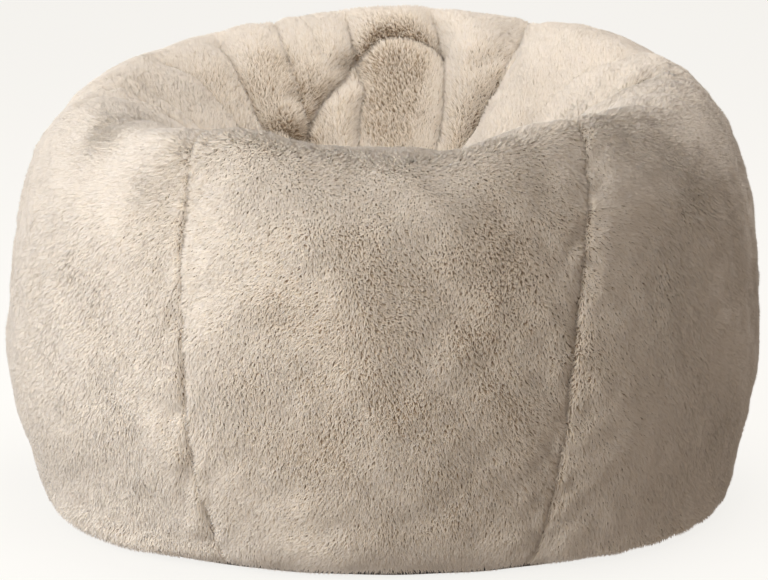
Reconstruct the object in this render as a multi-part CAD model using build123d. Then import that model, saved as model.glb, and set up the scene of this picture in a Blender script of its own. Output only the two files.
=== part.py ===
"""Bean bag chair: a zip-off fur cover of six gores, a top cap and a woven base,
over a plain liner of the same cut, which holds the loose bead fill.

Millimetres. The origin is the centre of the base on the floor, +Z is up, and the
low side of the rim, where a sitter's legs go, faces -Y. Azimuths are measured
from +X towards +Y, so -90 is the front and 90 is the rear.
"""
from build123d import *
import os
from math import cos, degrees, hypot, radians, sin

os.makedirs("parts", exist_ok=True)

# ---- driving dimensions ----
WIDTH = 1046.0              # across the crowns of two gores, tips of the fur included
RIM_HEIGHT = 588.0          # mean height of the rolled rim
RIM_RISE = 35.0             # how much higher the rim is at the rear, and lower at the front
RIM_ROLL = 10.0             # how much higher it is on the right, and lower on the left
RIM_SHIFT = 25.0            # how much nearer the axis the rim is at the rear
HOLLOW_FLOOR = 410.0        # height of the fur at the bottom of the seat hollow
GORES = 6
SEAM_PINCH = 4.0            # how far a seam draws the skin in

FUR_THICKNESS = 14.0        # backing cloth and pile together
LINER_INSET = 18.0          # outer face of the liner, behind the tips of the fur
LINER_THICKNESS = 1.6
FILL_INSET = 22.5           # outer face of the beads
CAP_RADIUS = 70.0           # round caps that close the gores in the hollow
CAP_GAP = 3.0               # left for the seam round a cap

BASE_RADIUS = 446.0         # cover's base panel
BASE_THICKNESS = 4.0
LINER_BASE_RADIUS = 426.0
LINER_BASE_BOTTOM = 5.0
LINER_BASE_THICKNESS = 1.6
FILL_BOTTOM = 8.0
FILL_FOOT_RADIUS = 420.0    # upright foot of the beads, inside the liner's zip
FILL_FOOT_TOP = 34.0
FILL_CORE_RADIUS = 60.0     # round core, inside the sectors under the gores
CORE_GAP = 0.2

# both zips run round the rear half, between the base and the rear gores
COVER_ZIP_RADIUS = 448.0    # outer face of the cover zip's tapes
COVER_ZIP_HEIGHT = 20.0     # centre line of its teeth
COVER_ZIP_ENDS = (6.0, 174.0)       # azimuths
COVER_SLIDER_AT = 166.0     # closed
LINER_ZIP_RADIUS = 431.0
LINER_ZIP_HEIGHT = 24.0
LINER_ZIP_ENDS = (36.0, 144.0)
LINER_SLIDER_AT = 136.0
TOOTH_PITCH = 5.0
TOOTH_LENGTH = 2.6          # along the chain
TAPE_THICKNESS = 1.2
TAPE_WIDTH = 16.0
TAPE_EDGE = 2.2             # tape's inner edge, from the centre line
ROW_GAP = 0.8               # tip of a tooth, from the centre line
ROW_EDGE = 3.8              # outer edge of a row of teeth, from the centre line
CHAIN_PROUD = 2.4           # how far the teeth stand off each face of the tape

# slider, in its own frame: along the chain, across it, and out from the bag
SLIDER_LENGTH = 18.0
SLIDER_WIDTH = 13.0
PLATE_THICKNESS = 2.0
PLATE_CLEARANCE = 0.7       # between a plate and the teeth
FLANGE_WIDTH = 1.8
TAPE_CLEARANCE = 0.6        # between a flange and the tape
PLATE_CORNER = 1.5
POST_WIDTH = 0.9
POST_LENGTH = 4.0
LUG_WIDTH = 1.6
LUG_LENGTH = 5.0
LUG_CLEARANCE = 0.4
BAR_RADIUS = 1.1            # bail bar that the pull tab turns on
BAR_HEIGHT = 3.2            # above the slider's outer plate
BAR_BACK = 5.0              # behind the slider's middle
TAB_LENGTH = 27.0
TAB_WIDTH = 7.0
TAB_THICKNESS = 1.8
TAB_BORE_CLEARANCE = 0.15
TAB_EYE_WALL = 1.2
TAB_SLOT_LENGTH = 11.0
TAB_SLOT_WIDTH = 2.8
TAB_SLOT_BACK = 5.4         # middle of the slot, behind the middle of the tab
STOP_LENGTH = 3.75          # along the chain
STOP_LIFT = 0.05            # between a stop and the tape
CHAIN_START = 1.25          # pitches from the zip's end to the first upper tooth
CHAIN_STAGGER = 0.5         # pitches that the lower teeth are behind the upper ones
CHAIN_SHORT = 2             # teeth left out for the stops

BELLY_RADIUS = WIDTH / 2
GORE_ANGLE = 360.0 / GORES
GORE_NAMES = ("front", "front_right", "rear_right", "rear", "rear_left", "front_left")

# (radius, height, share): the outer face on a meridian. share is how far the
# station follows the rim's rise, roll and shift.
OUTLINE = (
    (499.0, 86.0, 0.0),
    (516.0, 159.0, 0.0),
    (BELLY_RADIUS, 249.0, 0.0),
    (517.0, 354.0, 0.05),
    (501.0, 449.0, 0.3),
    (475.0, 514.0, 0.6),
    (438.0, 562.0, 0.85),
    (392.0, RIM_HEIGHT, 1.0),
    (335.0, 576.0, 0.95),
    (272.0, 534.0, 0.65),
    (203.0, 478.0, 0.3),
    (135.0, 434.0, 0.1),
    (CAP_RADIUS + CAP_GAP, HOLLOW_FLOOR, 0.0),
)
# below it, the first two stations of a gore that meets the base, and of one that
# meets the zip, for the cover, the liner and the beads
COVER_LOW_HEM = ((458.0, 6.0, 0.0), (486.0, 40.0, 0.0))
COVER_ZIP_HEM = ((462.0, 34.0, 0.0), (487.0, 62.0, 0.0))
LINER_LOW_HEM = ((442.0, -2.0, 0.0), (473.0, 44.0, 0.0))
LINER_ZIP_HEM = ((448.0, 31.0, 0.0), (479.0, 62.0, 0.0))


def station(radius, height, share, azimuth):
    """A station of the outline at an azimuth, as (radius, height)."""
    back, right = sin(radians(azimuth)), cos(radians(azimuth))
    return radius - share * RIM_SHIFT * back, height + share * (RIM_RISE * back + RIM_ROLL * right)


def meridian(azimuth, hem, inset):
    """The outline's points at an azimuth, moved in by inset along their normals."""
    points = [station(*s, azimuth) for s in hem + OUTLINE]
    moved = []
    for i, (radius, height) in enumerate(points):
        before = points[max(i - 1, 0)]
        after = points[min(i + 1, len(points) - 1)]
        dr, dz = after[0] - before[0], after[1] - before[1]
        size = hypot(dr, dz)
        moved.append((radius - inset * dz / size, height + inset * dr / size))
    return moved


def in_space(azimuth, points):
    """Points (radius, height) on the half plane at an azimuth."""
    a = radians(azimuth)
    return [Vector(r * cos(a), r * sin(a), z) for r, z in points]


def shell_section(azimuth, hem, inset, thickness):
    """Closed wire: a layer's outer face, its top edge, its inner face and its hem."""
    outer = in_space(azimuth, meridian(azimuth, hem, inset))
    inner = in_space(azimuth, meridian(azimuth, hem, inset + thickness))
    return Wire([
        Edge.make_spline(outer),
        Edge.make_line(outer[-1], inner[-1]),
        Edge.make_spline(inner[::-1]),
        Edge.make_line(inner[0], outer[0]),
    ])


def sector(middle, section):
    """Loft across one gore: seam, crown and seam. section(azimuth, pinch) gives each wire."""
    half = GORE_ANGLE / 2
    wires = [section(middle - half, SEAM_PINCH), section(middle, 0.0), section(middle + half, SEAM_PINCH)]
    return Solid.make_loft(wires)


def gore(middle, hem, inset, thickness):
    """One gore of the cover or the liner."""
    return sector(middle, lambda a, pinch: shell_section(a, hem, inset + pinch, thickness))


def gore_middles():
    """Name and middle azimuth of each gore, from the front round to the front left."""
    return [(name, -90.0 + i * GORE_ANGLE) for i, name in enumerate(GORE_NAMES)]


def ring(radius_in, radius_out, low, high, start, end):
    """Part of a ring of rectangular section, between two azimuths."""
    face = Plane.XZ * Rectangle(radius_out - radius_in, high - low)
    face = Pos((radius_in + radius_out) / 2, 0, (low + high) / 2) * face
    return Rot(0, 0, start) * revolve(face, Axis.Z, end - start)


def disc(radius, bottom, thickness):
    """A flat round panel."""
    return Pos(0, 0, bottom) * Cylinder(radius, thickness, align=(Align.CENTER, Align.CENTER, Align.MIN))


def bead_fill():
    """The beads: two solids under each gore, split at its crown, round a core, all touching."""
    floor = HOLLOW_FLOOR - FILL_INSET

    def section(azimuth, pinch):
        curve = in_space(azimuth, meridian(azimuth, LINER_ZIP_HEM, FILL_INSET + pinch))
        foot_radius = FILL_FOOT_RADIUS - pinch
        corners = in_space(azimuth, (
            (FILL_CORE_RADIUS, floor),
            (FILL_CORE_RADIUS, FILL_BOTTOM),
            (foot_radius, FILL_BOTTOM),
            (foot_radius, FILL_FOOT_TOP),
        ))
        path = [curve[-1], *corners, curve[0]]
        return Wire([Edge.make_spline(curve)] + [Edge.make_line(a, b) for a, b in zip(path, path[1:])])

    halves = [disc(FILL_CORE_RADIUS - CORE_GAP, FILL_BOTTOM, floor - FILL_BOTTOM)]
    for _, middle in gore_middles():
        crown = Plane(origin=(0, 0, 0), z_dir=(-sin(radians(middle)), cos(radians(middle)), 0))
        whole = sector(middle, section)
        halves += [whole.split(crown, keep=keep) for keep in (Keep.TOP, Keep.BOTTOM)]
    return Compound(halves)


def zip_tape(radius, height, ends, side):
    """Woven tape on one side of the chain: side is 1 above it and -1 below it."""
    near, far = height + side * TAPE_EDGE, height + side * (TAPE_EDGE + TAPE_WIDTH)
    return ring(radius - TAPE_THICKNESS, radius, min(near, far), max(near, far), *ends)


def zip_teeth(radius, height, ends, side):
    """A row of moulded teeth on one tape, each with a head past the tape's edge."""
    near, edge, far = [side * d for d in (ROW_GAP, TAPE_EDGE, ROW_EDGE)]
    back, front = -TAPE_THICKNESS - CHAIN_PROUD, CHAIN_PROUD
    corners = ((back, near), (front, near), (front, far), (0, far), (0, edge), (back, edge))
    profile = Plane.XZ * make_face(Polyline(*corners, close=True))
    tooth = Pos(radius, 0, height) * extrude(profile, TOOTH_LENGTH / 2, both=True)
    pitch = degrees(TOOTH_PITCH / radius)
    count = int((ends[1] - ends[0]) / pitch) - CHAIN_SHORT
    first = ends[0] + pitch * (CHAIN_START if side > 0 else CHAIN_START + CHAIN_STAGGER)
    return Compound([Rot(0, 0, first + i * pitch) * tooth for i in range(count)])


def zip_stops(radius, height, ends):
    """Crimped stops that end the chain, one at each end, on the outer face of the tapes."""
    width = degrees(STOP_LENGTH / radius)
    low, high = height - ROW_EDGE, height + ROW_EDGE
    faces = (radius + STOP_LIFT, radius + CHAIN_PROUD)
    return Compound([ring(*faces, low, high, a, a + width) for a in (ends[0], ends[1] - width)])


def on_zip(radius, height, azimuth):
    """Frame of a slider: x along the chain, y up across it, z out from the bag."""
    a = radians(azimuth)
    return Plane(origin=(radius * cos(a), radius * sin(a), height), x_dir=(-sin(a), cos(a), 0),
                 z_dir=(cos(a), sin(a), 0))


def block(x, y, z):
    """Box between pairs of limits."""
    middle = [(a + b) / 2 for a, b in (x, y, z)]
    return Pos(*middle) * Box(x[1] - x[0], y[1] - y[0], z[1] - z[0])


PLATE_OUT = CHAIN_PROUD + PLATE_CLEARANCE               # inner side of the outer plate
PLATE_IN = -TAPE_THICKNESS - CHAIN_PROUD - PLATE_CLEARANCE      # outer side of the inner plate
BAR_OUT = PLATE_OUT + PLATE_THICKNESS + BAR_HEIGHT      # axis of the bail bar


def plate(low, high):
    """One plate of the slider, with rounded corners."""
    outline = RectangleRounded(SLIDER_LENGTH, SLIDER_WIDTH, PLATE_CORNER)
    return Pos(0, 0, low) * extrude(outline, high - low)


def slider(with_bail):
    """Slider body in its own frame: two plates, four flanges, the post and the bail."""
    half, wide = SLIDER_LENGTH / 2, SLIDER_WIDTH / 2
    straight = (PLATE_CORNER - half, half - PLATE_CORNER)
    top = PLATE_OUT + PLATE_THICKNESS
    body = plate(PLATE_OUT, top) + plate(PLATE_IN - PLATE_THICKNESS, PLATE_IN)
    for near, far in ((wide - FLANGE_WIDTH, wide), (-wide, FLANGE_WIDTH - wide)):
        body += block(straight, (near, far), (TAPE_CLEARANCE, PLATE_OUT))
        body += block(straight, (near, far), (PLATE_IN, -TAPE_THICKNESS - TAPE_CLEARANCE))
    post = (half - PLATE_CORNER - POST_LENGTH, half - PLATE_CORNER)
    body += block(post, (-POST_WIDTH / 2, POST_WIDTH / 2), (PLATE_IN, PLATE_OUT))
    if with_bail:
        lug = (-BAR_BACK - LUG_LENGTH / 2, -BAR_BACK + LUG_LENGTH / 2)
        inner = TAB_WIDTH / 2 + LUG_CLEARANCE
        for near, far in ((inner, inner + LUG_WIDTH), (-inner - LUG_WIDTH, -inner)):
            body += block(lug, (near, far), (top, BAR_OUT + BAR_RADIUS + LUG_CLEARANCE))
        body += Pos(-BAR_BACK, 0, BAR_OUT) * Rot(90, 0, 0) * Cylinder(BAR_RADIUS, 2 * inner + LUG_WIDTH)
    else:
        body += block((-LUG_LENGTH, LUG_LENGTH), (-LUG_WIDTH, LUG_WIDTH), (top, top + LUG_WIDTH))
    return body


def pull_tab():
    """Pull tab in the slider's frame, lying back along the chain, with a round end and a slot."""
    middle = -BAR_BACK - TAB_LENGTH / 2
    outline = SlotOverall(TAB_LENGTH + TAB_WIDTH, TAB_WIDTH)
    slot = extrude(SlotOverall(TAB_SLOT_LENGTH, TAB_SLOT_WIDTH), TAB_THICKNESS, both=True)
    tab = Pos(middle, 0, BAR_OUT) * extrude(outline, TAB_THICKNESS / 2, both=True)
    tab -= Pos(middle - TAB_SLOT_BACK, 0, BAR_OUT) * slot
    ahead = block((0, TAB_WIDTH), (-TAB_WIDTH, TAB_WIDTH), (-TAB_THICKNESS, TAB_THICKNESS))
    tab -= Pos(-BAR_BACK, 0, BAR_OUT) * ahead
    eye = Rot(90, 0, 0) * Cylinder(BAR_RADIUS + TAB_EYE_WALL, TAB_WIDTH)
    bore = Rot(90, 0, 0) * Cylinder(BAR_RADIUS + TAB_BORE_CLEARANCE, 2 * TAB_WIDTH)
    return tab + Pos(-BAR_BACK, 0, BAR_OUT) * eye - Pos(-BAR_BACK, 0, BAR_OUT) * bore


def build_nodes():
    """Every node of the chair, by name."""
    nodes = {}
    for name, middle in gore_middles():
        zipped = name.startswith("rear")
        cover_hem = COVER_ZIP_HEM if zipped else COVER_LOW_HEM
        liner_hem = LINER_ZIP_HEM if zipped else LINER_LOW_HEM
        nodes[f"cover_gore_{name}"] = gore(middle, cover_hem, 0.0, FUR_THICKNESS)
        nodes[f"liner_gore_{name}"] = gore(middle, liner_hem, LINER_INSET, LINER_THICKNESS)
    nodes["cover_top_cap"] = disc(CAP_RADIUS, HOLLOW_FLOOR - FUR_THICKNESS, FUR_THICKNESS)
    nodes["liner_top_cap"] = disc(CAP_RADIUS, HOLLOW_FLOOR - LINER_INSET - LINER_THICKNESS, LINER_THICKNESS)
    nodes["cover_base"] = disc(BASE_RADIUS, 0, BASE_THICKNESS)
    nodes["liner_base"] = disc(LINER_BASE_RADIUS, LINER_BASE_BOTTOM, LINER_BASE_THICKNESS)
    nodes["bead_fill"] = bead_fill()
    zips = (
        ("cover", COVER_ZIP_RADIUS, COVER_ZIP_HEIGHT, COVER_ZIP_ENDS),
        ("liner", LINER_ZIP_RADIUS, LINER_ZIP_HEIGHT, LINER_ZIP_ENDS),
    )
    for layer, radius, height, ends in zips:
        for side, word in ((1, "upper"), (-1, "lower")):
            nodes[f"{layer}_zip_tape_{word}"] = zip_tape(radius, height, ends, side)
            nodes[f"{layer}_zip_teeth_{word}"] = zip_teeth(radius, height, ends, side)
        nodes[f"{layer}_zip_stops"] = zip_stops(radius, height, ends)
    closed = on_zip(COVER_ZIP_RADIUS, COVER_ZIP_HEIGHT, COVER_SLIDER_AT)
    nodes["cover_zip_slider"] = closed.location * slider(with_bail=True)
    nodes["cover_zip_pull"] = closed.location * pull_tab()
    nodes["liner_zip_slider"] = on_zip(LINER_ZIP_RADIUS, LINER_ZIP_HEIGHT, LINER_SLIDER_AT).location * slider(
        with_bail=False)
    return nodes


for name, shape in build_nodes().items():
    export_step(shape, f"parts/{name}.step")

bar = on_zip(COVER_ZIP_RADIUS, COVER_ZIP_HEIGHT, COVER_SLIDER_AT).from_local_coords((-BAR_BACK, 0, BAR_OUT))
print("pull tab turns about Z through", tuple(round(v, 3) for v in bar))
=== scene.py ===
import math

import bmesh
import bpy
import numpy as np
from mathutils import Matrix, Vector


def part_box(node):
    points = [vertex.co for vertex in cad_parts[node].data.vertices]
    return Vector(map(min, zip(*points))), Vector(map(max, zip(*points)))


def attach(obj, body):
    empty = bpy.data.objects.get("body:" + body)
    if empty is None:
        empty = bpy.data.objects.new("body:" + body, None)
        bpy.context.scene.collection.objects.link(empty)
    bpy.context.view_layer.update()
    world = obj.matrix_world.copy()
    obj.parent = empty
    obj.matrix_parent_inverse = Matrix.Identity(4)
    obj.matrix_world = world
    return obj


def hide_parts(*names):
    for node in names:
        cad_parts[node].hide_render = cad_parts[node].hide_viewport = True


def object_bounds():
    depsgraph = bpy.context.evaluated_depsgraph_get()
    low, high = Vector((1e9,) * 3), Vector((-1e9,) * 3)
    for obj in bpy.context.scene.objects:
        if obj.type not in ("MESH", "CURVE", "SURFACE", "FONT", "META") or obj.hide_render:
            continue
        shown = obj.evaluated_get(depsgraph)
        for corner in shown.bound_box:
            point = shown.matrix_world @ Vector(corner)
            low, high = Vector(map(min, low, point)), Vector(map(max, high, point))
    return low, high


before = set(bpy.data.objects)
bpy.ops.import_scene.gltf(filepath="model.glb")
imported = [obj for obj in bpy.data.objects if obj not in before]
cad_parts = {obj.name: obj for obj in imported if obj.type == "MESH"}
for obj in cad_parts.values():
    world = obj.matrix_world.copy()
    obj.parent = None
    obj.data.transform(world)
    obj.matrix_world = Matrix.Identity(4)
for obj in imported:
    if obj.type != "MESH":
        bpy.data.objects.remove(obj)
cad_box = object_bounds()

# ---- sizes, from the frame ----
GORES = ("front", "front_right", "rear_right", "rear", "rear_left", "front_left")
BELLY = (cad_box[1].y - cad_box[0].y) / 2
FRONT_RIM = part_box("cover_gore_front")[1].z
REAR_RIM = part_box("cover_gore_rear")[1].z
RIM = (FRONT_RIM + REAR_RIM) / 2
RIM_RISE = (REAR_RIM - FRONT_RIM) / 2
RIM_ROLL = (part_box("cover_gore_front_right")[1].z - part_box("cover_gore_front_left")[1].z) / 2
RIM_SHIFT = 0.025
CAP_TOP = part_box("cover_top_cap")[1].z
CAP_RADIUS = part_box("cover_top_cap")[1].x
BASE_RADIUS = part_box("cover_base")[1].x

PILE = 0.0115            # how far the pile stands off its backing
BACKING = 0.0022         # thickness of the backing cloth
LINER_INSET = 0.018      # outer faces of the layers, behind the tips of the fur
LINER_CLOTH = 0.0012
FILL_INSET = 0.022

LOCKS_PER_PIECE = 64000  # three faces each, so a piece of pile stays under 200,000 faces
LOCK_WIDTH = 0.0026
HALVES = ((0.0, 0.47, "lower"), (0.47, 1.0, "upper"))   # each gore's pile is two pieces
CAP_LOCKS = 3600
PLASTIC = 1.3247179572447460    # plastic number: spreads points evenly over a square
HEM_HEIGHT = 0.0035      # the pile's tips stop just above the floor
ZIP_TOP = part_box("cover_zip_slider")[1].z
ZIP_OUT = float(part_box("cover_zip_tape_upper")[1].y) + 0.0118   # past the pull tab
BASE_CLOTH_DEPTH = 0.0014

# radius and height of the liner's foot, over its base and over its zip
LINER_TAPE_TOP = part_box("liner_zip_tape_upper")[1]
LINER_FOOT = (float(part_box("liner_base")[1].x) + 0.0020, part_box("liner_base")[1].z + 0.0002)
LINER_ZIP_FOOT = (float(LINER_TAPE_TOP.y) + 0.0022, LINER_TAPE_TOP.z - 0.0035)
LINER_FROM = 0.085       # t where the liner's foot leaves the cover's shape

rng = np.random.default_rng(41)


# ---- the bag's surface ----
# (radius / belly, height / rim, share of the rim's rise, roll and shift)
OUTLINE = np.array((
    (0.876, 0.010, 0.0),
    (0.929, 0.068, 0.0),
    (0.954, 0.146, 0.0),
    (0.987, 0.270, 0.0),
    (1.000, 0.4235, 0.0),
    (0.989, 0.602, 0.05),
    (0.958, 0.764, 0.3),
    (0.908, 0.874, 0.6),
    (0.838, 0.956, 0.85),
    (0.750, 1.000, 1.0),
    (0.641, 0.980, 0.95),
    (0.520, 0.908, 0.65),
    (0.388, 0.813, 0.3),
    (0.258, 0.738, 0.1),
    (0.140, 0.697, 0.0),
))
ZIP_LIFT = np.zeros_like(OUTLINE)       # how the foot changes over the zip
ZIP_LIFT[0] = (0.008, 0.048, 0.0)
ZIP_LIFT[1] = (0.002, 0.038, 0.0)
FINE = 48                               # samples of each table between two stations


def natural_spline(values):
    """Natural cubic spline through evenly spaced rows, sampled FINE times a span."""
    n = len(values)
    system = np.diag(np.full(n, 4.0)) + np.diag(np.ones(n - 1), 1) + np.diag(np.ones(n - 1), -1)
    system[0, :2] = system[-1, -2:] = 0
    system[0, 0] = system[-1, -1] = 1
    right = np.zeros_like(values)
    right[1:-1] = 6 * (values[2:] - 2 * values[1:-1] + values[:-2])
    bend = np.linalg.solve(system, right)
    t = np.linspace(0, n - 1, (n - 1) * FINE + 1)
    i = np.minimum(t.astype(int), n - 2)
    f = (t - i)[:, None]
    line = values[i] * (1 - f) + values[i + 1] * f
    return line + ((1 - f) ** 3 - (1 - f)) * bend[i] / 6 + (f ** 3 - f) * bend[i + 1] / 6


scale = np.array((BELLY, RIM, 1.0))
TABLE = natural_spline(OUTLINE * scale)
LIFT_TABLE = natural_spline(ZIP_LIFT * scale)
STEPS = np.linspace(0, 1, len(TABLE))


def smooth(low, high, x):
    """0 below low, 1 above high, and an S between."""
    f = np.clip((x - low) / (high - low), 0, 1)
    return f * f * (3 - 2 * f)


def turn(azimuth):
    """Azimuth in degrees, from -180 to 180."""
    return (np.asarray(azimuth) + 180) % 360 - 180


def over_zip(azimuth):
    """1 over the zip, at the rear, and 0 at the front."""
    a = turn(azimuth)
    return smooth(-3, 5, a) * smooth(-3, 5, 180 - np.abs(a)) * (a > -90)


def meridian(azimuth, t):
    """Radius and height of the tips of the fur at azimuth, and t from the hem, 0, to the cap, 1."""
    a = np.radians(azimuth)
    base = [np.interp(t, STEPS, TABLE[:, i]) for i in range(3)]
    lift = [np.interp(t, STEPS, LIFT_TABLE[:, i]) for i in range(2)]
    k = over_zip(azimuth)
    radius = base[0] + k * lift[0] - base[2] * RIM_SHIFT * np.sin(a)
    height = base[1] + k * lift[1] + base[2] * (RIM_RISE * np.sin(a) + RIM_ROLL * np.cos(a))
    return radius, height


# Seams between the gores: azimuth at the hem, belly, shoulder, rim and cap.
SEAM_T = (0.0, 0.3, 0.5, 0.64, 0.8, 1.0)
SEAMS = np.array((
    (-116.5, -120.5, -122.0, -125.0, -126.0, -120.0),
    (-65.5, -62.5, -57.0, -53.5, -54.0, -60.0),
    (-1.0, 0.0, 1.0, 1.5, 3.0, 0.0),
    (60.0, 60.0, 58.0, 55.5, 55.0, 60.0),
    (120.0, 120.0, 118.0, 115.5, 119.0, 120.0),
    (181.0, 180.0, 179.0, 178.5, 177.0, 180.0),
    (243.5, 239.5, 238.0, 235.0, 234.0, 240.0),
))


def seam(index, t):
    """Azimuth of a seam at t."""
    return np.interp(t, SEAM_T, SEAMS[index])


# Creases that run up the bag: (t, azimuth) points, depth and half width.
CREASES = (
    (((0.64, 130.0), (0.73, 133.0), (0.84, 136.0), (0.90, 137.0)), 0.024, 0.010),
    (((0.67, 109.0), (0.74, 108.0)), 0.010, 0.007),
    (((0.67, 99.0), (0.75, 98.0), (0.79, 102.0), (0.82, 111.0), (0.86, 121.0), (0.92, 126.0)),
     0.028, 0.009),
    (((0.76, 97.5), (0.81, 96.0), (0.85, 100.0), (0.92, 103.0)), 0.024, 0.009),
    (((0.66, 79.0), (0.735, 75.0), (0.78, 72.0), (0.84, 69.0), (0.92, 69.0)), 0.028, 0.009),
    (((0.68, 56.0), (0.75, 53.0), (0.80, 54.0), (0.88, 59.0), (0.94, 62.0)), 0.028, 0.012),
    (((0.68, 152.0), (0.75, 148.0), (0.86, 148.0), (0.92, 150.0)), 0.018, 0.012),
    (((0.72, 170.0), (0.82, 167.0), (0.92, 164.0)), 0.013, 0.014),
    (((0.60, 17.0), (0.70, 18.0), (0.80, 26.0), (0.90, 33.0)), 0.009, 0.020),
    (((0.60, -6.0), (0.72, 2.0), (0.82, 12.0), (0.92, 14.0)), 0.009, 0.018),
    (((0.56, -19.0), (0.72, -12.0), (0.86, -8.0)), 0.007, 0.020),
    (((0.62, 186.0), (0.74, 183.0), (0.86, 180.0)), 0.008, 0.018),
    (((0.60, 205.0), (0.74, 202.0), (0.88, 200.0)), 0.009, 0.018),
    (((0.66, 222.0), (0.78, 220.0), (0.92, 222.0)), 0.007, 0.016),
    (((0.68, 254.0), (0.80, 256.0), (0.92, 258.0)), 0.012, 0.014),
    (((0.66, 284.0), (0.80, 282.0), (0.92, 279.0)), 0.014, 0.012),
    (((0.66, 312.0), (0.80, 315.0), (0.92, 316.0)), 0.012, 0.014),
    (((0.64, 334.0), (0.80, 337.0), (0.92, 338.0)), 0.010, 0.016),
)
# Creases across it: (azimuth, t) points, depth and half width.
CROSS_CREASES = (
    (((73.0, 0.752), (78.0, 0.735), (85.0, 0.727), (91.0, 0.730), (97.0, 0.756)), 0.021, 0.008),
    (((124.0, 0.872), (130.0, 0.846), (136.0, 0.834)), 0.014, 0.008),
    (((-67.0, 0.165), (-58.0, 0.150)), 0.004, 0.010),
    (((-63.0, 0.125), (-55.0, 0.118)), 0.003, 0.008),
)


def waves(seed, count, longest, shortest):
    """Directions, phases and sizes of a smooth field made of plane waves."""
    field = np.random.default_rng(seed)
    way = field.normal(size=(count, 3))
    way /= np.linalg.norm(way, axis=1)[:, None]
    length = np.exp(field.uniform(np.log(shortest), np.log(longest), count))
    size = length / length.mean()
    phase = field.uniform(0, 2 * math.pi, count)
    return way * (2 * math.pi / length)[:, None], phase, size / np.sqrt((size ** 2).sum() / 2)


def field_at(field, points):
    """The field's value at points, of about unit size."""
    way, phase, size = field
    total = np.zeros(len(points))
    for w, p, s in zip(way, phase, size):
        total += s * np.sin(points @ w + p)
    return total


LUMPS = waves(3, 24, 0.36, 0.11)
DENTS = waves(5, 36, 0.085, 0.030)
PUCKERS = waves(7, 24, 0.050, 0.022)
SWIRLS = waves(11, 30, 0.26, 0.06)
LEANS = waves(13, 40, 0.20, 0.035)
SHADES = waves(17, 40, 0.22, 0.04)
CLUMPS = waves(19, 60, 0.0066, 0.0040)
PATCHES = waves(23, 30, 0.16, 0.05)

# Where the pile stands up and shows its roots' painted shade, with more painted shade where strongest, in
# the hollow: azimuth, t, half sizes and strength.
STANDING = (
    (-86, 0.26, 30, 0.24, 0.58), (-68, 0.48, 9, 0.09, 0.30),
    (-128, 0.50, 9, 0.10, 0.25),
    (87, 0.81, 13, 0.16, 1.0), (124, 0.83, 10, 0.12, 0.9), (108, 0.80, 8, 0.10, 0.7),
    (142, 0.80, 10, 0.10, 0.45),
    (62, 0.82, 8, 0.10, 0.6), (-40, 0.80, 14, 0.07, 0.25), (200, 0.78, 12, 0.06, 0.12),
    (30, 0.33, 20, 0.14, 0.30), (150, 0.30, 18, 0.18, 0.35), (95, 0.28, 16, 0.16, 0.35),
)
# Soft swells and hollows: azimuth, t, half sizes and height.
SWELLS = (
    (87, 0.85, 9, 0.085, -0.006), (107, 0.87, 6, 0.06, 0.012), (90, 0.68, 12, 0.05, 0.005),
    (125, 0.78, 7, 0.10, 0.004), (64, 0.80, 8, 0.09, 0.003), (38, 0.76, 14, 0.12, 0.010),
    (204, 0.55, 32, 0.14, -0.015), (152, 0.60, 16, 0.08, -0.004),
    (-14, 0.12, 36, 0.08, -0.002), (194, 0.12, 36, 0.08, -0.004), (-90, 0.50, 22, 0.16, 0.003),
    (-145, 0.025, 26, 0.035, 0.018), (-35, 0.025, 26, 0.035, 0.018),
    (79, 0.66, 8, 0.05, 0.005), (100, 0.66, 6, 0.05, 0.005), (140, 0.66, 14, 0.06, -0.008),
    (45, 0.66, 12, 0.06, -0.007), (-54, 0.33, 10, 0.27, 0.010),
    (-121, 0.65, 15, 0.09, 0.022), (-56, 0.65, 13, 0.08, 0.015), (-88, 0.65, 16, 0.07, -0.004),
)


def bumps_at(bumps, azimuth, t, power=2):
    """Sum of round bumps over the skin. A higher power gives each a flatter top."""
    total = np.zeros(len(azimuth))
    for middle, t_middle, half, t_half, height in bumps:
        off = (turn(azimuth - middle) / half) ** 2 + ((t - t_middle) / t_half) ** 2
        total += height * np.exp(-off ** (power / 2))
    return total


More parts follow.
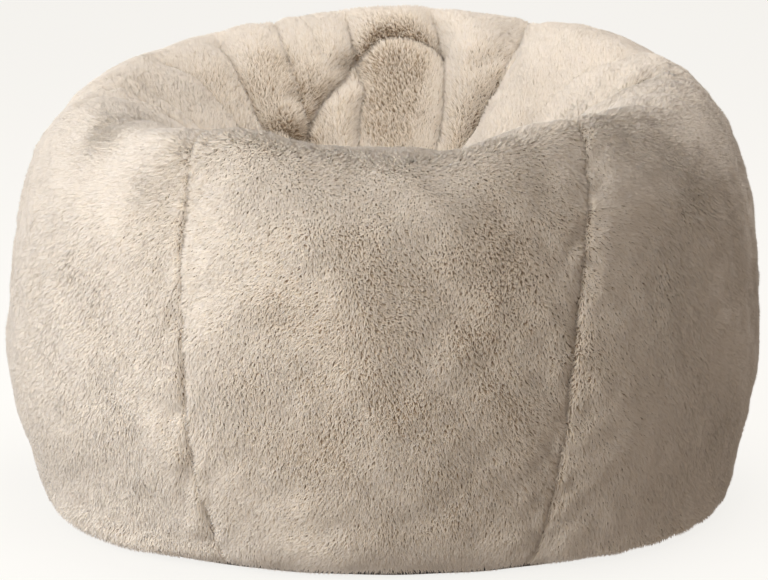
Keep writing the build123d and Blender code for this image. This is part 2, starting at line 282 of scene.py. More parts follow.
def relief(azimuth, t, radius, points):
    """How far the skin stands off the plain outline, from seams, creases and lumps."""
    a = azimuth
    out = 0.003 + 0.0019 * field_at(LUMPS, points) + 0.0009 * field_at(DENTS, points)
    out += bumps_at(SWELLS, a, t)
    near_seam = np.full(len(points), 1.0)
    for k in range(len(GORES)):
        d = np.abs(np.radians(turn(a - seam(k, t)))) * radius
        out -= 0.0080 * np.exp(-(d / 0.0042) ** 1.3) + 0.0045 * np.exp(-(d / 0.026) ** 2)
        near_seam = np.minimum(near_seam, d)
    out += 0.0016 * field_at(PUCKERS, points) * np.exp(-(near_seam / 0.035) ** 2)
    for path, depth, width in CREASES:
        ts, azimuths = np.array(path).T
        d = np.abs(np.radians(turn(a - np.interp(t, ts, azimuths)))) * radius
        along = smooth(ts[0] - 0.035, ts[0] + 0.03, t) * (1 - smooth(ts[-1] - 0.02, ts[-1] + 0.05, t))
        out -= depth * along * (0.55 * np.exp(-d / width) + 0.45 * np.exp(-(d / (3.2 * width)) ** 2))
    for path, depth, width in CROSS_CREASES:
        azimuths, ts = np.array(path).T
        turned = azimuths[0] + turn(a - azimuths[0])
        d = np.abs(t - np.interp(turned, azimuths, ts)) * METRES_PER_T
        along = smooth(azimuths[0] - 2.5, azimuths[0] + 1.5, turned) * (
            1 - smooth(azimuths[-1] - 1.5, azimuths[-1] + 2.5, turned))
        out -= depth * along * (0.6 * np.exp(-d / width) + 0.4 * np.exp(-(d / (3 * width)) ** 2))
    out *= 0.5 + 0.5 * smooth(0.0, 0.04, t)      # the base holds the hem round
    gathers = np.sin(np.radians(a) * 17 + 1.3 * np.sin(np.radians(a) * 3))
    gathers += 0.6 * np.sin(np.radians(a) * 29 + 2)
    out += 0.0030 * gathers * smooth(0.86, 0.97, t)
    return out


METRES_PER_T = float(np.hypot(*np.diff(TABLE[:, :2], axis=0).T).sum())


def surface(azimuth, t, inset):
    """Points of a layer of the bag, inset behind the tips of the fur."""
    radius, height = meridian(azimuth, t)
    step = 1e-3
    r0, z0 = meridian(azimuth, np.maximum(t - step, 0))
    r1, z1 = meridian(azimuth, np.minimum(t + step, 1))
    dr, dz = r1 - r0, z1 - z0
    size = np.hypot(dr, dz)
    a = np.radians(azimuth)
    plain = np.stack([radius * np.cos(a), radius * np.sin(a), height], 1)
    off = relief(azimuth, t, radius, plain) - inset
    radius, height = radius + off * dz / size, height - off * dr / size
    return np.stack([radius * np.cos(a), radius * np.sin(a), height], 1)


def gore_azimuth(index, u, t):
    """Azimuth at u from one seam of a gore, 0, to the other, 1."""
    low, high = seam(index, t), seam(index + 1, t)
    return low + (high - low) * u


def unit(vectors):
    """The vectors, scaled to a length of one."""
    return vectors / np.maximum(np.linalg.norm(vectors, axis=-1), 1e-12)[..., None]


# ---- meshes ----
def make_object(name, points, faces):
    """A mesh object from arrays of points and of faces with one number of corners."""
    mesh = bpy.data.meshes.new(name)
    corners = faces.shape[1]
    mesh.vertices.add(len(points))
    mesh.vertices.foreach_set("co", np.asarray(points, np.float32).ravel())
    mesh.loops.add(faces.size)
    mesh.loops.foreach_set("vertex_index", faces.astype(np.int32).ravel())
    mesh.polygons.add(len(faces))
    mesh.polygons.foreach_set("loop_start", np.arange(0, faces.size, corners, dtype=np.int32))
    mesh.polygons.foreach_set("use_smooth", np.full(len(faces), True))
    mesh.update(calc_edges=True)
    made = bpy.data.objects.new(name, mesh)
    bpy.context.scene.collection.objects.link(made)
    return made


def add_uv(made, uv):
    """The object's own UV layer, from one pair for each corner."""
    layer = made.data.uv_layers.new(name="OFBake")
    layer.data.foreach_set("uv", np.asarray(uv, np.float32).ravel())


def closed_sheet(name, outer, inner):
    """A closed sheet from two grids of points, rows by columns."""
    rows, columns = outer.shape[:2]
    points = np.concatenate([outer.reshape(-1, 3), inner.reshape(-1, 3)])
    index = np.arange(rows * columns).reshape(rows, columns)
    back = index + rows * columns

    def quads(a, b, c, d):
        return np.stack([a.ravel(), b.ravel(), c.ravel(), d.ravel()], 1)

    faces = np.concatenate([
        quads(index[:-1, :-1], index[:-1, 1:], index[1:, 1:], index[1:, :-1]),
        quads(back[:-1, :-1], back[1:, :-1], back[1:, 1:], back[:-1, 1:]),
        quads(index[0, :-1], back[0, :-1], back[0, 1:], index[0, 1:]),
        quads(index[-1, :-1], index[-1, 1:], back[-1, 1:], back[-1, :-1]),
        quads(index[:-1, 0], index[1:, 0], back[1:, 0], back[:-1, 0]),
        quads(index[:-1, -1], back[:-1, -1], back[1:, -1], index[1:, -1]),
    ])
    return make_object(name, points, faces)


def disc_grid(columns, rows, radius):
    """x and y of rings round the centre, rows by columns."""
    turns, rings = np.meshgrid(np.linspace(0, 2 * math.pi, columns), np.linspace(0.0005, radius, rows))
    return rings * np.cos(turns), rings * np.sin(turns)


def grid_sheet(name, index, inset, thickness, columns, rows):
    """One gore of a layer, as a closed sheet."""
    u, t = np.meshgrid(np.linspace(0, 1, columns), np.linspace(0, 1, rows))
    azimuth = gore_azimuth(index, u.ravel(), t.ravel())
    layers = [surface(azimuth, t.ravel(), d).reshape(rows, columns, 3) for d in (inset, inset + thickness)]
    return closed_sheet(name, *layers)


# ---- fur ----
def sample_gore(index, count, low, high):
    """Evenly spread places on a gore between two values of t, as azimuth and t."""
    rows = np.linspace(low, high, 1200)
    middle = (seam(index, rows) + seam(index + 1, rows)) / 2
    radius, height = meridian(middle, rows)
    width = (seam(index + 1, rows) - seam(index, rows)) * radius
    share = np.cumsum(width * np.hypot(np.gradient(radius), np.gradient(height)))
    share = (share - share[0]) / (share[-1] - share[0])
    i = np.arange(count)
    u = (0.5 + i / PLASTIC) % 1
    v = (0.5 + i / PLASTIC ** 2) % 1
    spread = 0.45 / math.sqrt(count)
    u = np.clip(u + rng.normal(0, spread, count), 0.0, 1.0)
    v = np.clip(v + rng.normal(0, spread, count), 0.0, 1.0)
    t = np.interp(v, share, rows)
    return gore_azimuth(index, u, t), t


def basis(azimuth, t, inset):
    """Points on the skin, with its outward normals and the way down the panel."""
    step_a, step_t = 0.15, 0.0012
    here = surface(azimuth, t, inset)
    side = surface(azimuth + step_a, t, inset) - surface(azimuth - step_a, t, inset)
    up = surface(azimuth, np.minimum(t + step_t, 1), inset)
    up = up - surface(azimuth, np.maximum(t - step_t, 0), inset)
    normal = unit(np.cross(side, up))
    return here, normal, unit(-up)


def slope_at(field, points):
    """Slope of a field at points, as vectors of about unit size."""
    way, phase, size = field
    total = np.zeros_like(points)
    for w, p, s in zip(way, phase, size):
        total += (s * np.cos(points @ w + p))[:, None] * (w / np.linalg.norm(w))
    return total


def fur(name, azimuth, t, here, normal, down):
    """Locks of pile, each a slim three-sided spike. They lie over where the pile is
    combed flat, and stand in clumps with dark gaps where it is ruffled: shadow between the spikes, and
    painted shade on their roots and shorter locks."""
    count = len(here)
    side = np.cross(normal, down)
    patch = field_at(PATCHES, here)
    ruffled = bumps_at(STANDING, azimuth, t, 4) * (1 + 0.10 * patch) + 0.04 * patch + 0.03
    ruffled = np.clip(ruffled, 0.0, 1.0)
    swirl = 0.38 * field_at(SWIRLS, here) + rng.normal(0, 0.38 + 0.5 * ruffled, count)
    nap = unit(down * np.cos(swirl)[:, None] + side * np.sin(swirl)[:, None])
    # degrees from the normal, and length
    lean = 50 - 28 * ruffled + 2.5 * field_at(LEANS, here) + rng.normal(0, 2.0 + 9 * ruffled, count)
    lean = np.radians(np.clip(lean, 3, 72))
    length = PILE * (0.90 + 0.04 * ruffled + rng.normal(0, 0.03 + 0.07 * ruffled, count))
    length *= 1 + 0.2 * (1 - smooth(0, 0.03, t))        # a little longer at the hem
    clump = slope_at(CLUMPS, here)
    clump -= normal * (clump * normal).sum(1)[:, None]
    way = unit(normal * np.cos(lean)[:, None] + nap * np.sin(lean)[:, None]
               + clump * (0.03 + 0.13 * ruffled)[:, None])
    depth = field_at(CLUMPS, here)
    length = length * (1 + (0.02 + 0.10 * ruffled) * np.clip(depth, -1.6, 1.6))
    root = here - normal * 0.001
    tip = here + way * length[:, None]
    width = LOCK_WIDTH * rng.uniform(0.8, 1.2, count) * (1 + 0.12 * (1 - ruffled))
    across = unit(np.cross(way, normal + rng.normal(0, 0.35, (count, 3))))
    through = np.cross(way, across)
    spin = rng.uniform(0, 2 * math.pi, count)
    corners = []
    for k in range(3):
        angle = spin + k * 2 * math.pi / 3
        ring = across * np.cos(angle)[:, None] + through * np.sin(angle)[:, None]
        corners.append(root + ring * (width / 2)[:, None])
    points = np.stack(corners + [tip], 1)
    keep_off(points.reshape(-1, 3))
    first = np.arange(count)[:, None] * 4
    faces = np.concatenate([first + np.array(f) for f in ((0, 1, 3), (1, 2, 3), (2, 0, 3))], 1)
    faces = faces.reshape(-1, 3)
    made = make_object(name, points.reshape(-1, 3), faces)
    # Painted shade: shorter locks in the clumps' pits are darker, and the most ruffled pile, in the hollow,
    # darker still; the rest is each lock's random tone.
    tone_and_painted_shade = 0.68 + (0.02 + 0.14 * ruffled) * depth + 0.02 * field_at(SHADES, here)
    tone_and_painted_shade -= 0.6 * np.clip(ruffled - 0.62, 0, 1)
    tone_and_painted_shade = np.clip(tone_and_painted_shade + rng.normal(0, 0.012 + 0.11 * ruffled, count), 0.03, 0.97)
    uv = np.empty((count, 3, 3, 2))
    low = 0.12 + 0.48 * (1 - ruffled)       # combed pile hides its roots and their painted shade
    uv[..., 0] = np.stack([low, low, np.full(count, 0.98)], 1)[:, None]
    uv[..., 1] = tone_and_painted_shade[:, None, None] + np.array((-0.02, 0.02, 0.0))
    add_uv(made, uv)
    own = unit(points - (root + way * (length * 0.3)[:, None])[:, None])
    own[:, 3] = way
    soft = unit(normal * 0.85 + way * 0.25)
    sharp = 0.45 * np.clip(ruffled - 0.03, 0, 1)[:, None, None]
    blend = unit(soft[:, None] * (1 - sharp) + own * sharp).reshape(-1, 3)
    made.data.normals_split_custom_set_from_vertices(blend.tolist())
    return made


def keep_off(points):
    """Moves points, in place, off the floor and out of the cover zip's way."""
    points[:, 2] = np.maximum(points[:, 2], HEM_HEIGHT)
    azimuth = np.degrees(np.arctan2(points[:, 1], points[:, 0]))
    radius = np.hypot(points[:, 0], points[:, 1])
    near = (azimuth > 3) & (azimuth < 177) & (points[:, 2] < ZIP_TOP + 0.003) & (radius < ZIP_OUT)
    points[near, :2] *= (ZIP_OUT / radius[near])[:, None]


# ---- materials ----
def new_material(name):
    """An empty node material with its shader and output joined."""
    material = bpy.data.materials.new(name)
    material.use_nodes = True
    nodes = material.node_tree.nodes
    shader = nodes["Principled BSDF"]
    return material, nodes, material.node_tree.links, shader


def ramp(nodes, stops):
    """A colour ramp with (place, colour) stops."""
    node = nodes.new("ShaderNodeValToRGB")
    elements = node.color_ramp.elements
    elements[0].position, elements[0].color = stops[0][0], (*stops[0][1], 1)
    elements[1].position, elements[1].color = stops[-1][0], (*stops[-1][1], 1)
    for place, colour in stops[1:-1]:
        element = elements.new(place)
        element.color = (*colour, 1)
    return node


def noise_at(nodes, links, place, scale, detail):
    """A noise texture in the object's own coordinates."""
    noise = nodes.new("ShaderNodeTexNoise")
    noise.inputs["Scale"].default_value = scale
    noise.inputs["Detail"].default_value = detail
    links.new(place.outputs["Object"], noise.inputs[0])
    return noise


def fur_material():
    """Pile that is pale at its tips and brown towards its roots, painted shade between the locks, times
    each lock's random tone and painted shade in the pits and the hollow.
    """
    material, nodes, links, shader = new_material("fur_pile")
    uv = nodes.new("ShaderNodeUVMap")
    uv.uv_map = "OFBake"
    parts = nodes.new("ShaderNodeSeparateXYZ")
    links.new(uv.outputs[0], parts.inputs[0])
    # Root to tip: the dark brown at the roots is painted shade between the locks.
    length = ramp(nodes, (
        (0.0, (0.17, 0.112, 0.067)), (0.28, (0.46, 0.34, 0.232)),
        (0.60, (0.80, 0.685, 0.555)), (1.0, (0.92, 0.835, 0.735))))
    # Each lock's random tone, darker where painted shade falls in the pits and the hollow.
    tone_and_painted_shade = ramp(nodes, (
        (0.0, (0.38, 0.32, 0.26)), (0.35, (0.72, 0.68, 0.63)),
        (0.66, (0.97, 0.965, 0.955)), (1.0, (1.0, 1.0, 1.0))))
    links.new(parts.outputs[0], length.inputs[0])
    links.new(parts.outputs[1], tone_and_painted_shade.inputs[0])
    mix = nodes.new("ShaderNodeMix")
    mix.data_type, mix.blend_type = "RGBA", "MULTIPLY"
    mix.inputs[0].default_value = 1.0
    links.new(length.outputs[0], mix.inputs[6])
    links.new(tone_and_painted_shade.outputs[0], mix.inputs[7])
    links.new(mix.outputs[2], shader.inputs["Base Color"])
    shader.inputs["Roughness"].default_value = 0.9
    shader.inputs["Sheen Weight"].default_value = 0.30
    shader.inputs["Sheen Roughness"].default_value = 0.45
    shader.inputs["Sheen Tint"].default_value = (0.96, 0.93, 0.88, 1)
    shader.inputs["Specular IOR Level"].default_value = 0.12
    shader.inputs["Subsurface Weight"].default_value = 0.25
    shader.inputs["Subsurface Radius"].default_value = (1.0, 0.72, 0.5)
    shader.inputs["Subsurface Scale"].default_value = 0.004
    return material


def cloth_material(name, dark, light, threads, rough, bump):
    """Plain weave: two crossed sets of threads, with uneven dyeing."""
    material, nodes, links, shader = new_material(name)
    place = nodes.new("ShaderNodeTexCoord")
    waves_made = []
    for axis in ("X", "Y"):
        wave = nodes.new("ShaderNodeTexWave")
        wave.bands_direction = axis
        wave.inputs["Scale"].default_value = threads
        wave.inputs["Distortion"].default_value = 0.6
        wave.inputs["Detail"].default_value = 1.0
        links.new(place.outputs["Object"], wave.inputs[0])
        waves_made.append(wave)
    weave = nodes.new("ShaderNodeMath")
    weave.operation = "MULTIPLY"
    links.new(waves_made[0].outputs["Fac"], weave.inputs[0])
    links.new(waves_made[1].outputs["Fac"], weave.inputs[1])
    noise = noise_at(nodes, links, place, 60, 4)
    both = nodes.new("ShaderNodeMath")
    both.operation = "MULTIPLY_ADD"
    both.inputs[1].default_value = 0.6
    links.new(noise.outputs["Fac"], both.inputs[0])
    links.new(weave.outputs[0], both.inputs[2])
    colour = ramp(nodes, ((0.1, dark), (1.1, light)))
    links.new(both.outputs[0], colour.inputs[0])
    links.new(colour.outputs[0], shader.inputs["Base Color"])
    lift = nodes.new("ShaderNodeBump")
    lift.inputs["Strength"].default_value = bump
    lift.inputs["Distance"].default_value = 0.0004
    links.new(weave.outputs[0], lift.inputs["Height"])
    links.new(lift.outputs[0], shader.inputs["Normal"])
    shader.inputs["Roughness"].default_value = rough
    shader.inputs["Sheen Weight"].default_value = 0.2
    return material


FUR = fur_material()
# The backing is dark brown: painted shade in the gaps between the locks.
BACKING_CLOTH = cloth_material("fur_backing_painted_shade", (0.22, 0.165, 0.115), (0.44, 0.35, 0.265), 900, 0.95, 0.3)
BASE_CLOTH = cloth_material("base_weave", (0.018, 0.015, 0.013), (0.075, 0.063, 0.055), 420, 0.85, 0.6)
LINER_COTTON = cloth_material("liner_calico", (0.60, 0.57, 0.50), (0.84, 0.82, 0.76), 700, 0.9, 0.4)


def dress(made, material, body="bag", nodes=()):
    """Material, slot, body and the CAD nodes that a piece stands for."""
    made.data.materials.clear()
    made.data.materials.append(material)
    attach(made, body)
    if nodes:
        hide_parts(*nodes)
    return made


# ---- cover ----
def build_cover():
    """Six gores of fur, each with its backing cloth and two pieces of pile."""
    for index, gore in enumerate(GORES):
        skin = grid_sheet(f"cover_backing_{gore}", index, PILE, BACKING, 84, 220)
        dress(skin, BACKING_CLOTH, nodes=[f"cover_gore_{gore}"])
        for low, high, half in HALVES:
            azimuth, t = sample_gore(index, LOCKS_PER_PIECE, low, high)
            pile = fur(f"cover_pile_{gore}_{half}", azimuth, t, *basis(azimuth, t, PILE))
            dress(pile, FUR)


def cap_height(x, y, inset):
    """Height of the round cap at the bottom of the hollow."""
    radius = np.hypot(x, y)
    edge = smooth(0.72, 1.0, radius / CAP_RADIUS)
    ripple = 0.0012 * np.sin(np.arctan2(y, x) * 11) * edge
    return CAP_TOP - inset - 0.001 - 0.006 * edge + 0.0025 * np.sin(x * 40) * np.cos(y * 34) + ripple


def cap_sheet(name, rows, inset, thickness):
    """The round cap of a layer, as a closed sheet."""
    x, y = disc_grid(97, rows, CAP_RADIUS)
    layers = [np.stack([x, y, cap_height(x, y, d)], 2)[::-1] for d in (inset, inset + thickness)]
    return closed_sheet(name, *layers)


def build_cap():
    """The cap's backing cloth and pile."""
    skin = cap_sheet("cover_backing_cap", 22, PILE, BACKING)
    dress(skin, BACKING_CLOTH, nodes=["cover_top_cap"])
    i = np.arange(CAP_LOCKS)
    radius = (CAP_RADIUS + 0.003) * np.sqrt((i + 0.5) / CAP_LOCKS)
    angle = i * math.pi * (3 - math.sqrt(5))
    x, y = radius * np.cos(angle), radius * np.sin(angle)
    here = np.stack([x, y, cap_height(x, y, PILE)], 1)
    normal = unit(np.stack([0.3 * x / CAP_RADIUS, 0.3 * y / CAP_RADIUS, np.ones_like(x)], 1))
    across = (math.cos(0.7), math.sin(0.7), 0.0)        # across the way the pile is combed
    down = unit(np.cross(normal, across))
    pile = fur("cover_pile_cap", np.degrees(angle), np.full(CAP_LOCKS, 0.99), here, normal, down)
    dress(pile, FUR)


def build_base():
    """The woven base panel, with a turned-up edge."""
    low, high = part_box("cover_base")[0].z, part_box("cover_base")[1].z
    turns, rings = np.meshgrid(np.linspace(0, 2 * math.pi, 241), np.linspace(0.0005, 1.0, 40))
    radius = BASE_RADIUS * (rings - 0.0008 * smooth(0.9, 1, rings) * (1 + np.sin(turns * 31)))
    x, y = radius * np.cos(turns), radius * np.sin(turns)
    lift = 0.0004 * (1 + np.sin(x * 55 + 1) * np.sin(y * 47))
    lift += (high - low - BASE_CLOTH_DEPTH) * smooth(0.96, 1, rings) ** 2
    bottom = np.stack([x, y, low + lift], 2)
    top = bottom + np.array((0, 0, BASE_CLOTH_DEPTH * 0.8))
    panel = closed_sheet("cover_base_panel", top[::-1], bottom[::-1])
    dress(panel, BASE_CLOTH, nodes=["cover_base"])


# ---- zips ----
def arc_sheet(name, node, material):
    """A zip tape, woven from the CAD tape's own box, with a slight wave."""
    low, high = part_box(node)
    radius = high.y
    start = math.atan2(low.y, math.sqrt(max(radius ** 2 - low.y ** 2, 0)))
    turns, rows = np.meshgrid(np.linspace(start, math.pi - start, 300), np.linspace(0, 1, 14))
    z = low.z + (high.z - low.z) * rows
    wave = 0.00012 * np.sin(turns * 90) + 0.00008 * np.sin(turns * 41 + rows * 6)
    faces = []
    for r in (radius - 0.0001, radius - 0.0010):
        rr = r + wave * (r < radius - 0.0005)
        faces.append(np.stack([rr * np.cos(turns), rr * np.sin(turns), z], 2))
    tape = closed_sheet(name, *[f[:, ::-1] for f in faces])
    dress(tape, material, nodes=[node])
    return radius, start, float(low.z), float(high.z)


def stitches(name, radius, start, z, material, gap=0.0045):
    """A row of lock stitches along a tape."""
    count = int(radius * (math.pi - 2 * start) / gap)
    middle = start + (np.arange(count) + 0.5) * (math.pi - 2 * start) / count
    half = 0.36 * gap / radius
    points, faces = [], []
    profile = ((-1.0, 0.0), (0.0, 1.0), (1.0, 0.0))
    for k, (side, out) in enumerate(profile):
        for along in (-1.0, -0.4, 0.4, 1.0):
            rise = 0.0004 * out * (1 - 0.9 * (abs(along) == 1.0))
            a = middle + half * along
            r = radius + rise
            points.append(np.stack([r * np.cos(a), r * np.sin(a), np.full(count, z + 0.0003 * side)], 1))
    points = np.stack(points, 1)
    for k in range(2):
        for j in range(3):
            faces.append((4 * k + j, 4 * k + j + 1, 4 * k + j + 5, 4 * k + j + 4))
    faces += [(8 + j, 9 + j, 1 + j, 0 + j) for j in range(3)]
    first = np.arange(count)[:, None, None] * 12
    row = make_object(name, points.reshape(-1, 3), (first + np.array(faces)).reshape(-1, 4))
    return dress(row, material)


def build_zips():
    """Woven tapes with their stitching, and materials for the teeth and metal parts."""
    for layer, cloth in (("cover", COVER_TAPE), ("liner", LINER_TAPE)):
        for side in ("lower", "upper"):
            node = f"{layer}_zip_tape_{side}"
            radius, start, low, high = arc_sheet(f"{layer}_zip_woven_tape_{side}", node, cloth)
            edge = low + 0.0035 if side == "lower" else high - 0.0035
            stitches(f"{layer}_zip_stitching_{side}", radius, start + 0.02, edge, THREAD)
            paint(f"{layer}_zip_teeth_{side}", TEETH)
        paint(f"{layer}_zip_stops", METAL)
        paint(f"{layer}_zip_slider", METAL)
    paint("cover_zip_pull", METAL)


def paint(node, material):
    """Puts a material on a CAD node."""
    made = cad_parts[node]
    made.data.materials.clear()
    made.data.materials.append(material)


# ---- liner and beads ----
def liner_surface(azimuth, t, inset):
    """Points of the liner, whose foot runs in to its own base or zip."""
    top = surface(azimuth, np.maximum(t, LINER_FROM), inset)
    a = np.radians(azimuth)
    s = np.clip(t / LINER_FROM, 0, 1)
    k = smooth(32, 40, turn(azimuth)) * smooth(32, 40, 180 - turn(azimuth)) * (turn(azimuth) > 0)
    foot_r = LINER_FOOT[0] + k * (LINER_ZIP_FOOT[0] - LINER_FOOT[0]) - (inset - LINER_INSET)
    foot_z = LINER_FOOT[1] + k * (LINER_ZIP_FOOT[1] - LINER_FOOT[1])
    radius, height = np.hypot(top[:, 0], top[:, 1]), top[:, 2]
    r = foot_r + (radius - foot_r) * s ** (0.85 + 0.85 * over_zip(azimuth))    # clear of the cover's slider
    z = foot_z + (height - foot_z) * s
    return np.stack([r * np.cos(a), r * np.sin(a), z], 1)


def build_liner():
    """The liner: six gores, a cap and a base of plain cotton."""
    for index, gore in enumerate(GORES):
        columns, rows = 56, 150
        u, t = np.meshgrid(np.linspace(0.002, 0.998, columns), np.linspace(0, 1, rows))
        azimuth = gore_azimuth(index, u.ravel(), t.ravel())
        layers = [liner_surface(azimuth, t.ravel(), d).reshape(rows, columns, 3)
                  for d in (LINER_INSET, LINER_INSET + LINER_CLOTH)]
        cloth = closed_sheet(f"liner_cloth_{gore}", *layers)
        dress(cloth, LINER_COTTON, nodes=[f"liner_gore_{gore}"])
    cap = cap_sheet("liner_cloth_cap", 16, LINER_INSET, LINER_CLOTH)
    dress(cap, LINER_COTTON, nodes=["liner_top_cap"])
    low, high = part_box("liner_base")
    x, y = disc_grid(181, 30, high.x)
    lift = 0.00012 * (1 + np.sin(x * 70) * np.sin(y * 61 + 1))
    bottom = np.stack([x, y, low.z + lift], 2)
    base = closed_sheet("liner_cloth_base", (bottom + np.array((0, 0, 0.0012)))[::-1], bottom[::-1])
    dress(base, LINER_COTTON, nodes=["liner_base"])


def build_beads():
    """The heap of beads: one closed body that fills the liner."""
    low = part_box("bead_fill")[0]
    turns = np.linspace(0, 360, 361)[:-1]
    foot = float(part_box("liner_zip_tape_upper")[1].y) - 0.0115      # inside the zip slider
    rows = [(r, low.z) for r in (0.001, 0.10, 0.20, 0.30, 0.37, foot)]
    rows += [(foot, z) for z in (0.016, 0.025, 0.034)]
    rings = [np.stack([np.radians(turns), np.full(360, r), np.full(360, z)], 1) for r, z in rows]
    points = [np.stack([g[:, 1] * np.cos(g[:, 0]), g[:, 1] * np.sin(g[:, 0]), g[:, 2]], 1) for g in rings]
    points += [surface(turns, np.full(360, t), FILL_INSET)
               for t in np.linspace(LINER_FROM + 0.02, 0.995, 150)]
    last = points[-1]
    middle_z = CAP_TOP - FILL_INSET - 0.004
    for share in (0.75, 0.5, 0.25, 0.01):
        ring = last * np.array((share, share, 1))
        ring[:, 2] = last[:, 2] * share + middle_z * (1 - share)
        points.append(ring)
    count = len(points)
    index = np.arange(count * 360).reshape(count, 360)
    a, b = index[:-1], np.roll(index, -1, axis=1)[:-1]
    c, d = np.roll(index, -1, axis=1)[1:], index[1:]
    faces = np.stack([a.ravel(), b.ravel(), c.ravel(), d.ravel()], 1)
    heap = make_object("bead_heap", np.concatenate(points), faces)
    ends = [list(index[0][::-1]), list(index[-1])]
    close_ends(heap, ends)
    dress(heap, BEADS, nodes=["bead_fill"])


def close_ends(made, rings):
    """Fills the small rings left at a turned body's two ends."""
    work = bmesh.new()
    work.from_mesh(made.data)
    work.verts.ensure_lookup_table()
    for ring in rings:
        work.faces.new([work.verts[int(i)] for i in ring])
    work.to_mesh(made.data)
    work.free()


def bead_material():
    """White foam beads, as raised cells, darker at their edges with painted shade between the beads."""
    material, nodes, links, shader = new_material("foam_beads")
    place = nodes.new("ShaderNodeTexCoord")
    cells = nodes.new("ShaderNodeTexVoronoi")
    cells.inputs["Scale"].default_value = 230
    links.new(place.outputs["Object"], cells.inputs["Vector"])
    # Darker towards each cell's edge: painted shade between the beads.
    colour = ramp(nodes, ((0.0, (0.93, 0.93, 0.91)), (0.7, (0.62, 0.62, 0.60))))
    links.new(cells.outputs["Distance"], colour.inputs[0])
    links.new(colour.outputs[0], shader.inputs["Base Color"])
    lift = nodes.new("ShaderNodeBump")
    lift.invert = True
    lift.inputs["Distance"].default_value = 0.0015
    links.new(cells.outputs["Distance"], lift.inputs["Height"])
    links.new(lift.outputs[0], shader.inputs["Normal"])
    shader.inputs["Roughness"].default_value = 0.6
    return material


def hard_material(name, dark, light, grain, rough, metal):
    """Moulded plastic or dull metal, with fine mottling and uneven polish."""
    material, nodes, links, shader = new_material(name)
    place = nodes.new("ShaderNodeTexCoord")
    noise = noise_at(nodes, links, place, grain, 5)
    colour = ramp(nodes, ((0.3, dark), (0.75, light)))
    links.new(noise.outputs["Fac"], colour.inputs[0])
    links.new(colour.outputs[0], shader.inputs["Base Color"])
    polish = nodes.new("ShaderNodeMapRange")
    polish.inputs["To Min"].default_value = rough - 0.08
    polish.inputs["To Max"].default_value = rough + 0.12
    links.new(noise.outputs["Fac"], polish.inputs["Value"])
    links.new(polish.outputs[0], shader.inputs["Roughness"])
    shader.inputs["Metallic"].default_value = metal
    return material


COVER_TAPE = cloth_material("cover_tape_weave", (0.16, 0.12, 0.09), (0.40, 0.33, 0.26), 800, 0.85, 0.5)
LINER_TAPE = cloth_material("liner_tape_weave", (0.62, 0.59, 0.53), (0.84, 0.82, 0.77), 800, 0.85, 0.5)
THREAD = cloth_material("thread", (0.20, 0.16, 0.12), (0.46, 0.39, 0.31), 1500, 0.7, 0.3)
TEETH = hard_material("zip_plastic", (0.16, 0.125, 0.095), (0.26, 0.21, 0.165), 260, 0.38, 0.0)
METAL = hard_material("zip_metal", (0.30, 0.26, 0.21), (0.46, 0.41, 0.34), 420, 0.36, 1.0)
BEADS = bead_material()

build_cover()
build_cap()
build_base()
build_zips()
build_liner()
build_beads()


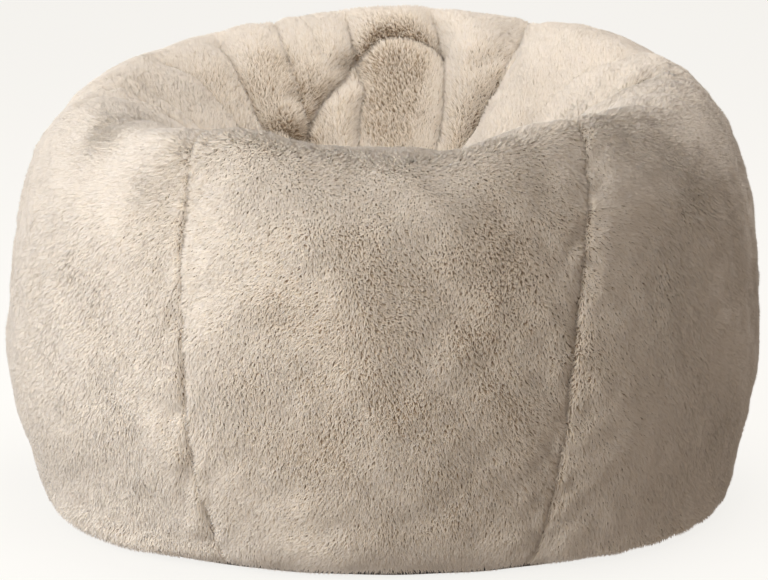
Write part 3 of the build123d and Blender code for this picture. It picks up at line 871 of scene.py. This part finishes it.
# ---- stage, light and camera ----
def build_stage():
    """A pale bowl, flat under the bag, that shows behind it from every side."""
    profile = [(r, 0.0) for r in (0.0, 1.5, 4.0, 9.0, 24.0)]
    profile += [(24.0 + 6 * math.sin(a), 6 - 6 * math.cos(a)) for a in np.linspace(0, math.pi / 2, 14)[1:]]
    profile.append((30.0, 20.0))
    turns = np.linspace(0, 2 * math.pi, 97)[:-1]
    points = [(r * math.cos(a), r * math.sin(a), z - 0.0003) for r, z in profile[1:] for a in turns]
    rings = len(profile) - 1
    index = np.arange(rings * 96).reshape(rings, 96)
    ahead = np.roll(index, -1, axis=1)
    faces = np.stack([index[:-1].ravel(), ahead[:-1].ravel(), ahead[1:].ravel(), index[1:].ravel()], 1)
    bowl = make_object("studio_bowl", np.array(points), faces)
    close_ends(bowl, [list(index[0])])
    material, _, _, shader = new_material("studio_white")
    shader.inputs["Base Color"].default_value = (0.14, 0.139, 0.136, 1)
    shader.inputs["Roughness"].default_value = 1.0
    shader.inputs["Specular IOR Level"].default_value = 0.0
    shader.inputs["Emission Color"].default_value = (1.0, 0.988, 0.955, 1)
    shader.inputs["Emission Strength"].default_value = 0.84
    bowl.data.materials.append(material)
    bowl.visible_diffuse = False
    bowl.visible_glossy = False
    bowl.visible_shadow = False


def area_light(name, place, size, power, colour, target):
    """A square soft light that points at target."""
    light = bpy.data.lights.new(name, "AREA")
    light.shape, light.size, light.energy, light.color = "SQUARE", size, power, colour
    lamp = bpy.data.objects.new(name, light)
    lamp.location = place
    lamp.rotation_euler = (Vector(target) - Vector(place)).to_track_quat("-Z", "Y").to_euler()
    bpy.context.scene.collection.objects.link(lamp)


def build_lights():
    """A broad key and fill from the left, a weaker light overhead, and a dim warm room."""
    middle = (0, 0, RIM * 0.5)
    area_light("key", (-2.6, -1.25, 1.0), 3.0, 66, (0.97, 0.985, 1.0), middle)
    area_light("fill", (-1.5, -3.15, 1.0), 2.4, 64, (1.0, 0.985, 0.96), middle)
    area_light("overhead", (0.4, 0.4, 2.9), 2.2, 54, (1.0, 0.975, 0.94), middle)
    world = bpy.data.worlds.new("room")
    world.use_nodes = True
    world.node_tree.nodes["Background"].inputs[0].default_value = (1.0, 0.85, 0.73, 1)
    world.node_tree.nodes["Background"].inputs[1].default_value = 0.43
    bpy.context.scene.world = world


def build_camera():
    """The photograph's view: from the front, 12 degrees above the floor's level, with a long lens."""
    distance, elevation = 6.2, math.radians(12)
    camera = bpy.data.cameras.new("camera")
    camera.sensor_width, camera.lens = 36.0, 209.8
    camera.clip_end = 60
    seen = bpy.data.objects.new("camera", camera)
    target = Vector((0, 0, RIM * 0.485))
    back = Vector((0, -math.cos(elevation), math.sin(elevation)))
    seen.location = target + back * distance
    seen.rotation_euler = (-back).to_track_quat("-Z", "Y").to_euler()
    bpy.context.scene.collection.objects.link(seen)
    bpy.context.scene.camera = seen


build_stage()
build_lights()
build_camera()
bpy.context.scene.view_settings.view_transform = "Standard"
bpy.context.scene.view_settings.look = "None"
